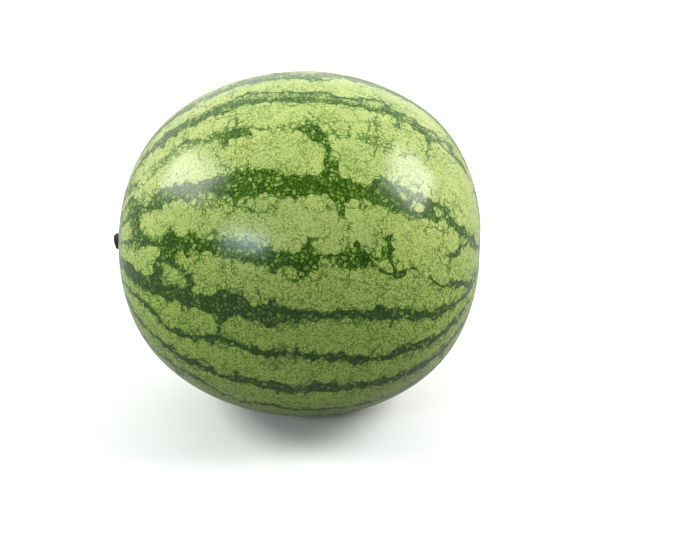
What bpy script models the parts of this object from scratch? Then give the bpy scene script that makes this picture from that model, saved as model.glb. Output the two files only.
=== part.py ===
"""A whole watermelon lying on its side, in metres, +Z up.

The frame's origin is the centre of the small flat spot that the melon rests
on. +X runs along the melon from the stem end to the blossom end, and -Y is
its front. The fruit grew as one piece, so it is one solid. The dried stub of
its stalk is the other.
"""

import math

import bmesh
import bpy
from mathutils import Matrix, Vector

# --- Driving dimensions, in metres ----------------------------------------

# The body: an ellipse turned about its long axis, then filled out.
HALF_LENGTH = 0.1296
BODY_RADIUS = 0.1238

# How the outline departs from that ellipse, as shares of the radius: towards
# both ends, at the ends alone, thicker to the blossom end, and higher there.
FULLNESS = 0.060
BLUNTNESS = 0.120
TAPER = 0.020
SHOULDER = 0.020

# The soft hollows at the two ends.
STEM_HOLLOW_DEPTH = 0.0030
STEM_HOLLOW_RADIUS = 0.0170
BLOSSOM_HOLLOW_DEPTH = 0.0016
BLOSSOM_HOLLOW_RADIUS = 0.0110

# How far the belly is flattened where the melon rests.
REST_DEPTH = 0.0020

# The dried stub of the stalk.
STEM_LENGTH = 0.0078
STEM_FOOT_RADIUS = 0.0072
STEM_NECK_RADIUS = 0.0052
STEM_TIP_RADIUS = 0.0050
STEM_RIDGES = 5
STEM_RIDGE_DEPTH = 0.0006
# How far the stub's tip leans up, or down when below zero, and how much its
# cut end slants.
STEM_LEAN = -0.0034
STEM_SLANT = 0.0018

# The flat seat that the stub stands on, and the gaps around its foot.
SEAT_DEPTH = 0.0008
SEAT_CLEARANCE = 0.0006
CONTACT_GAP = 0.0003

# --- Mesh density ----------------------------------------------------------

BODY_SEGMENTS = 72
BODY_RINGS = 40
STEM_SEGMENTS = 40
CUTTER_SEGMENTS = 48

# --- Derived dimensions ----------------------------------------------------

AXIS_HEIGHT = BODY_RADIUS - REST_DEPTH
HOLLOW_FLOOR_X = -HALF_LENGTH + STEM_HOLLOW_DEPTH
SEAT_X = HOLLOW_FLOOR_X + SEAT_DEPTH
SEAT_RADIUS = STEM_FOOT_RADIUS + SEAT_CLEARANCE

FRUIT_GREEN = (0.22, 0.36, 0.11, 1.0)
STEM_BROWN = (0.10, 0.06, 0.03, 1.0)


# --- Shaping ---------------------------------------------------------------


def swelling(station: float, rise: float) -> float:
    """Give the body's radius there as a share of the plain ellipse's.

    The station runs from -1 at the stem end to 1 at the blossom end, and
    rise from -1 underneath to 1 on top.
    """
    blossom = 0.5 * (1.0 + station) * station**2
    share = 1.0 + TAPER * station + SHOULDER * rise * blossom
    return share + FULLNESS * station**2 + BLUNTNESS * station**4


def body_point(direction: Vector) -> Vector:
    """Turn a direction from the body's centre into a point of its skin."""
    across = math.hypot(direction.y, direction.z)
    rise = direction.z / across if across > 1e-9 else 0.0
    radius = BODY_RADIUS * swelling(direction.x, rise)
    return Vector(
        (HALF_LENGTH * direction.x, radius * direction.y, radius * direction.z)
    )


def hollow(distance: float, depth: float, radius: float) -> float:
    """Give the depth of a soft round hollow at a distance from its middle."""
    return depth * math.exp(-((distance / radius) ** 2))


def press_hollows(point: Vector) -> Vector:
    """Press the stem and blossom hollows into a point of the skin."""
    distance = math.hypot(point.y, point.z)
    if point.x < 0.0:
        push = hollow(distance, STEM_HOLLOW_DEPTH, STEM_HOLLOW_RADIUS)
    else:
        push = -hollow(distance, BLOSSOM_HOLLOW_DEPTH, BLOSSOM_HOLLOW_RADIUS)
    return Vector((point.x + push, point.y, point.z))


# --- Building --------------------------------------------------------------


def clear_scene() -> None:
    """Remove every object, mesh and collection that is already there."""
    for obj in list(bpy.data.objects):
        bpy.data.objects.remove(obj, do_unlink=True)
    for mesh in list(bpy.data.meshes):
        bpy.data.meshes.remove(mesh)
    for group in list(bpy.data.collections):
        bpy.data.collections.remove(group)


def new_collection(name: str) -> bpy.types.Collection:
    """Make a collection in the scene."""
    group = bpy.data.collections.new(name)
    bpy.context.scene.collection.children.link(group)
    return group


def principled(name: str, colour: tuple, roughness: float) -> bpy.types.Material:
    """Make a plain Principled BSDF material."""
    material = bpy.data.materials.new(name)
    material.use_nodes = True
    shader = material.node_tree.nodes["Principled BSDF"]
    shader.inputs["Base Color"].default_value = colour
    shader.inputs["Roughness"].default_value = roughness
    material.diffuse_color = colour
    return material


def object_from(bm: bmesh.types.BMesh, name: str, group) -> bpy.types.Object:
    """Store the mesh that was built as a named object in a collection."""
    bmesh.ops.recalc_face_normals(bm, faces=bm.faces)
    mesh = bpy.data.meshes.new(name)
    bm.to_mesh(mesh)
    bm.free()
    obj = bpy.data.objects.new(name, mesh)
    group.objects.link(obj)
    return obj


def shade_smooth(obj: bpy.types.Object) -> None:
    """Shade the object's round faces smooth."""
    for face in obj.data.polygons:
        face.use_smooth = True


def make_cutter(name: str, group, size: dict, matrix: Matrix) -> bpy.types.Object:
    """Make a round cutter that neither renders nor counts as a piece."""
    bm = bmesh.new()
    bmesh.ops.create_cone(
        bm,
        cap_ends=True,
        segments=CUTTER_SEGMENTS,
        radius1=size["radius"],
        radius2=size["radius"],
        depth=size["depth"],
        matrix=matrix,
    )
    cutter = object_from(bm, name, group)
    cutter.hide_render = True
    cutter.display_type = "WIRE"
    return cutter


def cut(obj: bpy.types.Object, cutter: bpy.types.Object) -> None:
    """Take the cutter's volume away from the object."""
    modifier = obj.modifiers.new(f"cut_{cutter.name}", "BOOLEAN")
    modifier.operation = "DIFFERENCE"
    modifier.solver = "EXACT"
    modifier.object = cutter


def rest_cutter(group) -> bpy.types.Object:
    """Make the cutter that flattens the belly along the plane z = 0."""
    depth = 4.0 * REST_DEPTH
    size = {"radius": 0.6 * BODY_RADIUS, "depth": depth}
    middle = Matrix.Translation((0.0, 0.0, -0.5 * depth))
    return make_cutter("rest_cutter", group, size, middle)


def seat_cutter(group) -> bpy.types.Object:
    """Make the cutter for the flat seat under the stub of the stalk."""
    depth = STEM_HOLLOW_DEPTH + 4.0 * SEAT_DEPTH
    size = {"radius": SEAT_RADIUS, "depth": depth}
    middle = Matrix.Translation((SEAT_X - 0.5 * depth, 0.0, AXIS_HEIGHT))
    turn = Matrix.Rotation(math.radians(90.0), 4, "Y")
    return make_cutter("seat_cutter", group, size, middle @ turn)


def build_fruit(group, cutters) -> bpy.types.Object:
    """Build the fruit as one closed solid."""
    bm = bmesh.new()
    bmesh.ops.create_uvsphere(
        bm,
        u_segments=BODY_SEGMENTS,
        v_segments=BODY_RINGS,
        radius=1.0,
        matrix=Matrix.Rotation(math.radians(90.0), 4, "Y"),
    )
    lift = Vector((0.0, 0.0, AXIS_HEIGHT))
    for vertex in bm.verts:
        skin = press_hollows(body_point(vertex.co.normalized()))
        vertex.co = skin + lift
    fruit = object_from(bm, "fruit", group)
    shade_smooth(fruit)
    cut(fruit, rest_cutter(cutters))
    cut(fruit, seat_cutter(cutters))
    fruit.data.materials.append(principled("fruit", FRUIT_GREEN, 0.4))
    return fruit


def stem_profile() -> list:
    """List the stub's outline from the middle of its tip to that of its foot.

    Each entry is a distance out along the stalk and a radius.
    """
    return [
        (STEM_LENGTH * 0.94, 0.0),
        (STEM_LENGTH * 0.95, STEM_TIP_RADIUS * 0.45),
        (STEM_LENGTH, STEM_TIP_RADIUS * 0.80),
        (STEM_LENGTH * 0.95, STEM_TIP_RADIUS * 0.97),
        (STEM_LENGTH * 0.82, STEM_TIP_RADIUS * 1.02),
        (STEM_LENGTH * 0.60, STEM_NECK_RADIUS),
        (STEM_LENGTH * 0.38, STEM_NECK_RADIUS * 1.08),
        (STEM_LENGTH * 0.20, STEM_NECK_RADIUS * 0.55 + STEM_FOOT_RADIUS * 0.45),
        (STEM_LENGTH * 0.07, STEM_FOOT_RADIUS * 0.97),
        (CONTACT_GAP, STEM_FOOT_RADIUS),
        (CONTACT_GAP, 0.0),
    ]


def ridge_stem(bm: bmesh.types.BMesh) -> None:
    """Press shallow grooves between the ridges that run along the stub."""
    for vertex in bm.verts:
        radius = math.hypot(vertex.co.y, vertex.co.z)
        if radius < 1e-6:
            continue
        angle = math.atan2(vertex.co.z, vertex.co.y)
        wave = 0.5 - 0.5 * math.cos(STEM_RIDGES * angle)
        share = min(radius / STEM_NECK_RADIUS, 1.0)
        scale = 1.0 - STEM_RIDGE_DEPTH * wave * share / radius
        vertex.co.y *= scale
        vertex.co.z *= scale


def lean_stem(bm: bmesh.types.BMesh) -> None:
    """Lean the stub and slant its cut end, leaving its foot flat."""
    for vertex in bm.verts:
        out = -vertex.co.x - CONTACT_GAP
        share = out / (STEM_LENGTH - CONTACT_GAP)
        height = vertex.co.z / STEM_TIP_RADIUS
        vertex.co.x -= STEM_SLANT * height * share * share
        vertex.co.z += STEM_LEAN * share


def build_stem(group) -> bpy.types.Object:
    """Build the dried stub of the stalk by turning its outline."""
    bm = bmesh.new()
    corners = []
    for out, radius in stem_profile():
        corners.append(bm.verts.new((-out, radius, 0.0)))
    edges = []
    for first, second in zip(corners, corners[1:]):
        edges.append(bm.edges.new((first, second)))
    bmesh.ops.spin(
        bm,
        geom=corners + edges,
        cent=(0.0, 0.0, 0.0),
        axis=(1.0, 0.0, 0.0),
        angle=2.0 * math.pi,
        steps=STEM_SEGMENTS,
        use_merge=True,
    )
    bmesh.ops.remove_doubles(bm, verts=bm.verts, dist=1e-6)
    ridge_stem(bm)
    lean_stem(bm)
    move = Matrix.Translation((SEAT_X, 0.0, AXIS_HEIGHT))
    bmesh.ops.transform(bm, matrix=move, verts=bm.verts)
    stem = object_from(bm, "stem", group)
    shade_smooth(stem)
    stem.data.materials.append(principled("stem", STEM_BROWN, 0.8))
    return stem


def main() -> None:
    """Build the melon in its collection, and the cutters in theirs."""
    clear_scene()
    melon = new_collection("watermelon")
    cutters = new_collection("cutters")
    cutters.hide_render = True
    build_fruit(melon, cutters)
    build_stem(melon)


main()
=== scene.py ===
"""A whole watermelon lying on its side: its looks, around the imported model.

Everything is in metres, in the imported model's own frame: the origin is the
centre of the flat spot that the melon rests on, +X runs from its stem end to
its blossom end, -Y is its front and +Z is up.

Places on the rind are given as a station and a bearing, both in degrees. The
station is 0 at the stem end and 180 at the blossom end. The bearing is 0 on
the front, 90 along the top, 180 on the back and -90 underneath.

The pattern works in millimetres. A point's depth is how far it lies inside the
dark, so it is positive in a stripe and negative in the pale rind.
"""

import logging
import math
import random
from dataclasses import dataclass
from enum import Enum
from functools import cache

import bmesh
import bpy
import numpy as np
from mathutils import Matrix, Vector, noise


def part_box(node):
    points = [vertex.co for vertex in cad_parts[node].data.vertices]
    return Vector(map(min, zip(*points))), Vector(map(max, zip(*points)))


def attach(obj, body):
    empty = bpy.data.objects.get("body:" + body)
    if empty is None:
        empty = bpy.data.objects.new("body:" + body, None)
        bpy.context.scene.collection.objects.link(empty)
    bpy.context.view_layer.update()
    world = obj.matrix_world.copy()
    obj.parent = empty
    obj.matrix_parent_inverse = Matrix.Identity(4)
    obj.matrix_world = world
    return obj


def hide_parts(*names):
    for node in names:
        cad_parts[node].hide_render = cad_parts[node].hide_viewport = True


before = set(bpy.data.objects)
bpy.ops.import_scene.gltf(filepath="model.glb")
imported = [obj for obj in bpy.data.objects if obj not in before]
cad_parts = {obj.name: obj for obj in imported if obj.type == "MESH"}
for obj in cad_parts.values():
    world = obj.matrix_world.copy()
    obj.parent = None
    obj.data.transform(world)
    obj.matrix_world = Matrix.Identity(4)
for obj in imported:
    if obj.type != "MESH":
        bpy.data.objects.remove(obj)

LOG = logging.getLogger("watermelon")
MM = 0.001
TINY = 1e-9
Socket = bpy.types.NodeSocket


# --- The melon's outline ---


@dataclass(frozen=True)
class FruitForm:
    """The melon's outline, which the rind, its stripes and the lights share."""

    half_length: float = 0.1296
    radius: float = 0.1238
    fullness: float = 0.060
    bluntness: float = 0.120
    taper: float = 0.020
    shoulder: float = 0.020
    stem_hollow_depth: float = 0.0030
    stem_hollow_radius: float = 0.0170
    blossom_hollow_depth: float = 0.0016
    blossom_hollow_radius: float = 0.0110
    rest_depth: float = 0.0020

    @property
    def axis_height(self) -> float:
        """Give the height of the melon's long axis above the floor."""
        return self.radius - self.rest_depth

    @property
    def centre(self) -> Vector:
        """Give the melon's centre."""
        return Vector((0.0, 0.0, self.axis_height))

    def aims(self, stations: np.ndarray, bearings: np.ndarray) -> np.ndarray:
        """Turn places on the rind into directions from the melon's centre.

        Args:
            stations: degrees from the stem end.
            bearings: degrees up from the front.

        Returns:
            One unit direction for each place.
        """
        along = np.radians(np.asarray(stations, float))
        around = np.radians(np.asarray(bearings, float))
        girth = np.sin(along)
        return np.stack([-np.cos(along), -girth * np.cos(around), girth * np.sin(around)], -1)

    def dip(self, off_axis: np.ndarray, depth: float, radius: float) -> np.ndarray:
        """Give how far an end hollow sinks at distances from the long axis."""
        return depth * np.exp(-((off_axis / radius) ** 2))

    def points(self, aims: np.ndarray) -> np.ndarray:
        """Turn directions from the melon's centre into points on the rind.

        Args:
            aims: unit directions, one a row.

        Returns:
            The points, in metres, one a row.
        """
        station = aims[:, 0]
        girth = np.maximum(np.hypot(aims[:, 1], aims[:, 2]), TINY)
        share = 1.0 + self.taper * station + self.fullness * station**2
        share += self.bluntness * station**4
        share += self.shoulder * (aims[:, 2] / girth) * 0.5 * (1.0 + station) * station**2
        made = aims * share[:, None] * self.radius
        made[:, 0] = self.half_length * station
        off_axis = np.hypot(made[:, 1], made[:, 2])
        stem_dip = self.dip(off_axis, self.stem_hollow_depth, self.stem_hollow_radius)
        blossom_dip = self.dip(off_axis, self.blossom_hollow_depth, self.blossom_hollow_radius)
        made[:, 0] += np.where(station < 0.0, stem_dip, -blossom_dip)
        made[:, 2] += self.axis_height
        return made

    def place(self, station: float, bearing: float) -> Vector:
        """Give one place on the rind as a point."""
        return Vector(self.points(self.aims([station], [bearing]))[0])

    def outward(self, station: float, bearing: float) -> Vector:
        """Find the direction that the rind faces at one place.

        Args:
            station: degrees from the stem end.
            bearing: degrees up from the front.

        Returns:
            The unit direction.
        """
        along = self.place(station + 1.0, bearing) - self.place(station - 1.0, bearing)
        around = self.place(station, bearing + 1.0) - self.place(station, bearing - 1.0)
        facing = along.cross(around).normalized()
        return facing if facing.dot(self.place(station, bearing) - self.centre) > 0 else -facing


# --- Where the stripes run ---

FAR_OUTSIDE = -99.0
GIRTH_DEGREE = 2.16  # millimetres round the melon's widest ring


@dataclass(frozen=True)
class Streak:
    """A run of dark rind of changing width.

    Each stop is a station, a bearing and a half-width in millimetres.
    """

    stops: tuple[tuple[float, float, float], ...]
    margin: float = 30.0

    @property
    def girth(self) -> float:
        """Give the streak's greatest half-width, in millimetres."""
        return max(stop[2] for stop in self.stops)

    def depth(self, points: np.ndarray, form: FruitForm) -> np.ndarray:
        """Measure how far inside the streak each point lies.

        Args:
            points: points on the rind, in metres.
            form: the melon's outline.

        Returns:
            Millimetres, positive inside the streak and negative outside.
        """
        table = np.array(self.stops)
        spine = form.points(form.aims(table[:, 0], table[:, 1])) / MM
        inside = np.full(len(points), FAR_OUTSIDE)
        places = points / MM
        for start, end, slim, wide in zip(spine, spine[1:], table[:, 2], table[1:, 2]):
            reach = max(slim, wide) + self.margin
            low = np.minimum(start, end) - reach
            high = np.maximum(start, end) + reach
            near = np.nonzero(((places > low) & (places < high)).all(1))[0]
            run = end - start
            share = ((places[near] - start) @ run) / max(float(run @ run), TINY)
            share = np.clip(share, 0.0, 1.0)
            gap = np.linalg.norm(places[near] - start - share[:, None] * run, axis=1)
            inside[near] = np.maximum(inside[near], slim + (wide - slim) * share - gap)
        return inside


def band(*edges: tuple[float, float, float]) -> Streak:
    """Make a streak from its two edges.

    Args:
        edges: each a station and the bearings of the lower and upper edge.

    Returns:
        The streak midway between them.
    """
    stops = []
    for station, lower, upper in edges:
        half_width = 0.5 * (upper - lower) * GIRTH_DEGREE * math.sin(math.radians(station))
        stops.append((station, 0.5 * (lower + upper), half_width))
    return Streak(tuple(stops))


def vein(half_width: float, *stops: tuple[float, float]) -> Streak:
    """Make a streak of one half-width, in millimetres, through these places."""
    return Streak(tuple((station, bearing, half_width) for station, bearing in stops))


class StripeKind(Enum):
    """How heavy a stripe of the hidden side is: its half-width and its swing."""

    BROAD = (4.6, 2.0)
    MIDDLING = (3.2, 1.6)
    BROKEN = (1.3, 1.5)


CROWN_STRIPE = (
    band((8, 72, 80), (22, 80, 86), (35, 84, 89.5), (45, 84.5, 90.5), (55, 86, 92),
         (65, 88.5, 95), (72, 92, 99), (85, 91.5, 99.5), (94, 91, 99), (98, 96, 102),
         (105, 97, 104), (115, 97, 103), (125, 98, 104), (135, 99, 104.5),
         (150, 98, 103), (163, 96, 102), (172, 90, 100)),
    vein(1.6, (94, 92), (94.5, 89.5)),
)
UPPER_STRIPE = (
    band((8, 50, 58), (18, 59, 63), (25, 63, 65.5), (30, 65, 69), (35, 68, 73),
         (40, 68, 74.5), (45, 68.5, 75.5), (50, 70, 76), (55, 71, 78), (60, 71.5, 77),
         (65, 72, 79), (70, 73.5, 79), (75, 75, 78.5), (80, 75, 77), (85, 75, 77),
         (90, 75, 77.5), (95, 75.5, 78.3), (100, 75.5, 77.5), (105, 74.8, 76.4),
         (110, 76, 78), (115, 76, 78.5), (120, 76.5, 80.5), (125, 76.5, 79.5),
         (130, 76.5, 79), (138, 76.5, 78.8), (145, 78, 81), (150, 82, 86),
         (158, 85, 89), (170, 84, 92)),
    vein(1.1, (69, 78), (72, 81.5), (75, 82), (80, 81.2), (85, 80), (90, 80.2),
         (95, 80.4), (100, 81), (105, 80.3), (110, 81), (115, 84.3), (117, 83.8),
         (120, 82), (128, 81.5), (135, 81.5), (140, 83), (146, 84)),
    vein(1.9, (122, 78), (122.3, 73.3)),
    vein(1.5, (134, 78), (135, 73)),
    vein(0.5, (135, 73), (134.5, 65)),
    band((140, 84, 86.5), (143, 84, 88), (146, 85, 88.5)),
)
BROKEN_STRIPE = (
    vein(0.9, (12, 55), (18, 58), (24, 57.5)),
    band((26, 54.5, 57), (28, 54.5, 58), (31, 54, 56.5)),
    vein(0.55, (31, 53), (35, 50.5), (38, 51), (40, 53), (42, 54.5), (47, 56.5),
         (49, 57.5), (51, 60), (53, 61.5), (57, 63.5)),
    vein(0.7, (53, 61.8), (57, 63.3), (60, 62), (63, 61), (67, 61)),
    band((65, 60.2, 61.6), (67, 59.5, 62.5), (70, 58.8, 64.5), (73, 59, 65.8),
         (75, 60.5, 64.5), (78, 61.8, 63.4)),
    vein(1.0, (73, 65), (73.3, 67)),
    vein(0.9, (71, 59.5), (71, 57)),
    vein(0.6, (78, 62.5), (80, 63), (85, 63), (88, 62), (90, 62), (93, 61.5)),
    band((93, 60.5, 63), (95, 60, 66), (97.5, 59.5, 65), (100, 58, 61.5)),
    vein(0.6, (99, 60), (101, 61), (104, 63)),
    Streak(((98, 61, 3.0), (100, 59.5, 3.2), (101.3, 57, 3.1), (102, 54, 3.0),
            (102.5, 51, 3.0), (102.5, 48, 3.2), (102, 45, 3.6))),
    vein(0.35, (104, 62), (108, 63), (112, 62), (116, 63), (120, 61), (125, 59), (127, 60)),
    vein(0.3, (115, 70), (115, 65), (116, 60), (115, 56)),
)
MAIN_STRIPE = (
    vein(1.6, (6, 20), (12, 29), (20, 32), (25, 33.5), (28, 35), (32, 36)),
    vein(1.5, (8, 50), (16, 44), (25, 43), (29, 45), (31, 46.3), (33, 44), (35, 42.5),
         (37, 41)),
    band((29, 34, 38.5), (32, 33.5, 40), (35, 34, 40.5), (38, 36, 41), (41, 37.3, 40.3),
         (45, 37, 40.5), (47, 37, 44), (50, 37.3, 45), (55, 38.5, 44.5),
         (60, 38.5, 44.5), (65, 39.5, 45), (70, 39.5, 45.5), (74, 39, 46.5),
         (76.5, 37, 48), (79, 39, 47.5), (84, 40.5, 47), (88, 38.5, 46),
         (93, 38, 45), (98, 38.5, 45.5), (102, 40, 47), (106.5, 38, 45.5),
         (112, 38.5, 44), (117, 37.5, 46), (120, 37.5, 49), (124, 37, 47),
         (128, 35.5, 45.5), (133, 35, 46), (138, 36, 45.5), (143, 36.5, 44),
         (147, 34, 41), (152, 31, 39), (156, 28, 38), (160, 25, 37.5),
         (165, 24, 36), (173, 20, 40)),
    vein(0.9, (65.5, 40), (65.5, 35.7)),
    Streak(((106.5, 39, 3.0), (107, 36, 1.9), (107, 33.5, 1.4), (107, 31.5, 0.9))),
    vein(1.0, (157, 29), (155, 26), (153, 24), (150, 22), (147, 20.7), (145, 20.4)),
    vein(0.4, (146, 42.5), (149, 45)),
    vein(0.7, (78.3, 37.5), (79, 35.5), (80.2, 33.8), (82.5, 32.9), (85, 33.3), (87, 35)),
)
MIDDLE_STRIPE = (
    band((6, 8, 20), (15, 18, 23), (22, 20, 23), (28, 21, 23.5), (35, 20.3, 24),
         (42, 21, 25), (48, 21, 24.5), (51, 19, 27), (54, 17.5, 27.8), (57, 20, 26),
         (63, 20, 25.5), (70, 19.5, 24.5), (77, 18.5, 25), (82, 17, 24),
         (87, 16.5, 22.5), (92, 17, 22), (95.5, 15, 23), (98, 15.5, 22.5),
         (100, 18.8, 21.8), (102, 19.9, 21.2), (105, 18.5, 21), (108.5, 16.5, 21),
         (111.5, 18, 24.3), (115, 17, 22), (117.5, 16.5, 20)),
    Streak(((31, 40, 2.0), (33.5, 33, 4.0), (36, 29, 3.6), (38, 25, 2.6))),
    vein(3.4, (52, 20), (54, 17), (55, 15)),
    vein(0.5, (68, 25), (68, 28), (70, 27)),
    vein(0.9, (95, 16), (94, 13)),
    vein(0.8, (97.5, 22), (98, 25)),
    vein(0.7, (98, 17), (98, 14.5)),
    Streak(((115, 20.5, 1.6), (119, 21.6, 1.3), (122, 21.8, 1.5), (122, 25, 1.1),
            (122, 28, 0.8))),
    vein(0.9, (122, 21.8), (122.5, 20), (124, 17), (124.5, 15.5)),
    Streak(((117, 17.5, 1.6), (119, 15.6, 1.1), (125, 15, 1.9), (127, 15.2, 1.6),
            (131, 16.8, 1.0), (132, 15.2, 0.9), (134, 13.5, 0.9), (136, 11.7, 1.0),
            (139, 10, 1.6), (142, 7, 1.9), (144, 5.7, 2.0), (147, 4.6, 3.4),
            (150, 4.5, 3.2), (154, 1.5, 2.2), (160, -3, 2.0), (172, -5, 1.4))),
)
LOWER_STRIPE = (
    band((6, -10, 10), (16, 0, 9), (24, 0.8, 9.5), (30, 0.5, 10), (36, 0.2, 9.5),
         (42, 0.6, 9), (48, 1.2, 9.5), (52, 0.2, 7.8), (58, -0.8, 6.7), (64, -0.5, 6),
         (68, -0.8, 6),
         (72.5, -1.5, 8.8), (77, 0, 7.5), (82, -1.5, 5), (87, -2, 7), (92, -1.5, 5),
         (97, 0, 4.5), (102, 0.5, 3), (108, 0.5, 4), (114, -0.5, 3.5),
         (122, -3, 3), (130, -5, 1), (140, -9, -4), (150, -12, -7), (165, -16, -8)),
    Streak(((46.5, 8, 3.6), (48, 12, 3.8), (50, 16, 4.6))),
    vein(2.0, (61.5, 6), (61.5, 9), (60, 12), (58, 14), (56, 15.5)),
    vein(1.4, (71, -1), (71, -6), (70.5, -10)),
)
BELLY_STRIPES = (
    Streak(((6, -25, 1.4), (18, -12, 1.5), (28, -7, 1.3), (35, -6, 1.7), (38, -7, 2.0),
            (42, -8, 1.8), (46, -9, 2.2), (50, -11.5, 2.5), (55, -13, 2.6),
            (60, -12.5, 2.2), (65, -11, 2.2), (70, -9.5, 3.0), (78, -10.5, 2.6),
            (88, -13, 3.4), (97, -12, 2.4), (106, -14, 3.2), (118, -17, 2.6),
            (130, -19, 3.3), (145, -22, 2.8), (158, -24, 1.6), (172, -30, 1.0))),
    Streak(((6, -55, 1.0), (16, -27, 1.8), (25, -22, 2.4), (35, -22, 2.4),
            (45, -23.5, 2.6), (55, -25.5, 3.4), (65, -26.5, 3.2), (70, -27.5, 3.4),
            (80, -26, 4.2), (92, -29, 5.2), (104, -28, 4.0), (115, -31, 5.0),
            (128, -34, 4.2), (142, -36, 3.4), (156, -40, 2.8), (172, -60, 1.4))),
    Streak(((7, -70, 0.9), (20, -43, 1.3), (32, -39, 1.5), (40, -37, 1.7), (47, -36, 1.6),
            (55, -37, 2.0), (62, -38, 2.2), (70, -41.5, 2.4), (75, -43, 2.6),
            (86, -42, 2.0), (98, -45, 2.8), (110, -46, 2.2), (124, -50, 2.6),
            (140, -52, 2.0), (158, -60, 1.4), (172, -80, 0.9))),
)
# Places where a fine dark netting spreads over the pale rind.
NETTED = (
    band((68, 74, 80), (76, 75.5, 81), (86, 75.5, 80), (94, 75.5, 80.5), (104, 75.5, 80),
         (112, 77, 81), (122, 78, 81.5), (140, 78, 83)),
    band((90, 62, 65), (96, 61, 66)),
    vein(5.0, (66, 62), (76, 63)),
    vein(4.0, (44, 56), (52, 60), (60, 61)),
    vein(4.0, (62, 37), (74, 37)),
    vein(4.5, (30, 41), (37, 41.5), (44, 41)),
    vein(4.0, (112, 62), (120, 60)),
    vein(5.0, (20, 60), (30, 55)),
)
# Pale islands that stand clear inside the dark.
ISLANDS = (
    Streak(((27.5, 15, 3.0), (33, 15, 8.6), (39, 15, 9.0), (43.5, 15, 7.0), (45.5, 15, 3.5))),
    Streak(((51.5, 9.0, 4.4), (54.5, 9.5, 5.2), (58, 10, 3.8))),
    Streak(((24, 28, 4.0), (29, 29, 5.6), (32, 29.5, 3.5))),
    Streak(((25.5, 38.5, 2.6), (29.5, 40.5, 2.6))),
    Streak(((80, 36.5, 4.6), (84, 36.8, 5.2))),
    Streak(((118.5, 18.6, 4.0), (121, 18.3, 4.4))),
    Streak(((57, 42.3, 0.9), (60, 42, 1.1))),
    Streak(((86, 42.8, 1.5), (89, 42.2, 1.8), (91, 42.5, 1.2))),
    Streak(((124.5, 43.5, 1.2), (126.5, 43, 1.8))),
    Streak(((131, 41, 2.6), (133.5, 40.8, 2.8))),
    Streak(((138.5, 41.3, 1.6), (141, 40.6, 1.6))),
)


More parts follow.
